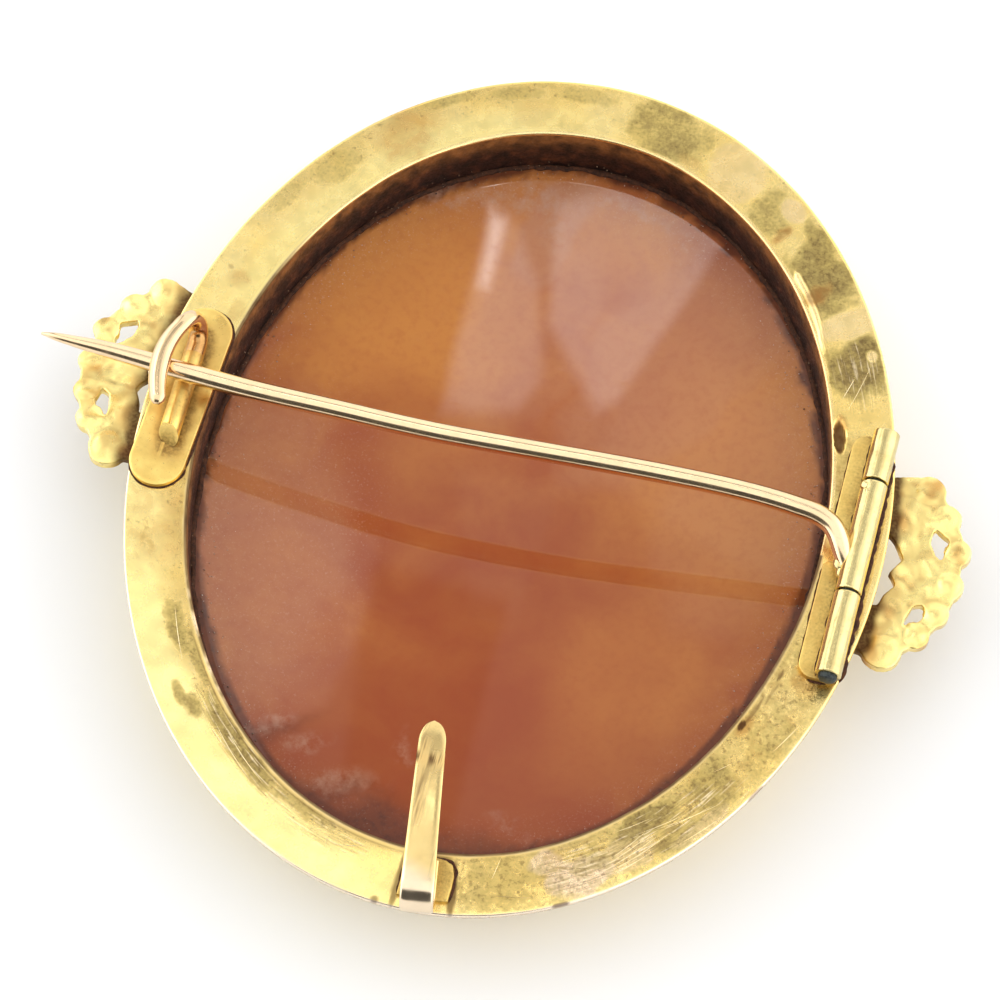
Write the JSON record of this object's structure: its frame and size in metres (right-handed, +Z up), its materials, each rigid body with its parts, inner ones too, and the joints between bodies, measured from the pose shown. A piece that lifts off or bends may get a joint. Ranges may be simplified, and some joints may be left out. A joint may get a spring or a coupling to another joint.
{
  "type": "cameo brooch",
  "caption": "Oval metal brooch lying face down, with a carved shell in a bezel, a hinged pin stem, a C-shaped catch, a folded tongue hook and pierced scrolls at the sides.",
  "frame": {"origin": "under the middle of the brooch's bounding box, on the surface that its front crest rests on", "axes": "+Z up from the hidden front to the back that the picture shows; +X from the catch to the hinge, across the oval; +Y along the oval, away from the tongue hook"},
  "size_m": [0.0559, 0.0546, 0.011],
  "materials": {
    "frame_gold": "worn hammered gold with brown and olive tarnish",
    "pale_gold": "polished greenish gold",
    "rose_gold": "polished rose gold",
    "rod_iron": "dark iron",
    "shell": "glossy reddish-brown shell, mottled"
  },
  "bodies": {
    "brooch": {"frame": "frame_gold", "cameo": "shell", "scroll_left": "frame_gold", "scroll_right": "frame_gold", "hinge": "pale_gold", "hinge_rod": "rod_iron", "catch": "frame_gold", "hook": "rose_gold"},
    "pin": {"pin": "rose_gold"}
  },
  "joints": [
    {"name": "pin_swing", "type": "hinge", "parent": "brooch", "child": "pin", "pos_m": [0.02152, 0.00125, 0.00855], "axis": [0, 1, 0], "range_deg": [0, 110]}
  ]
}
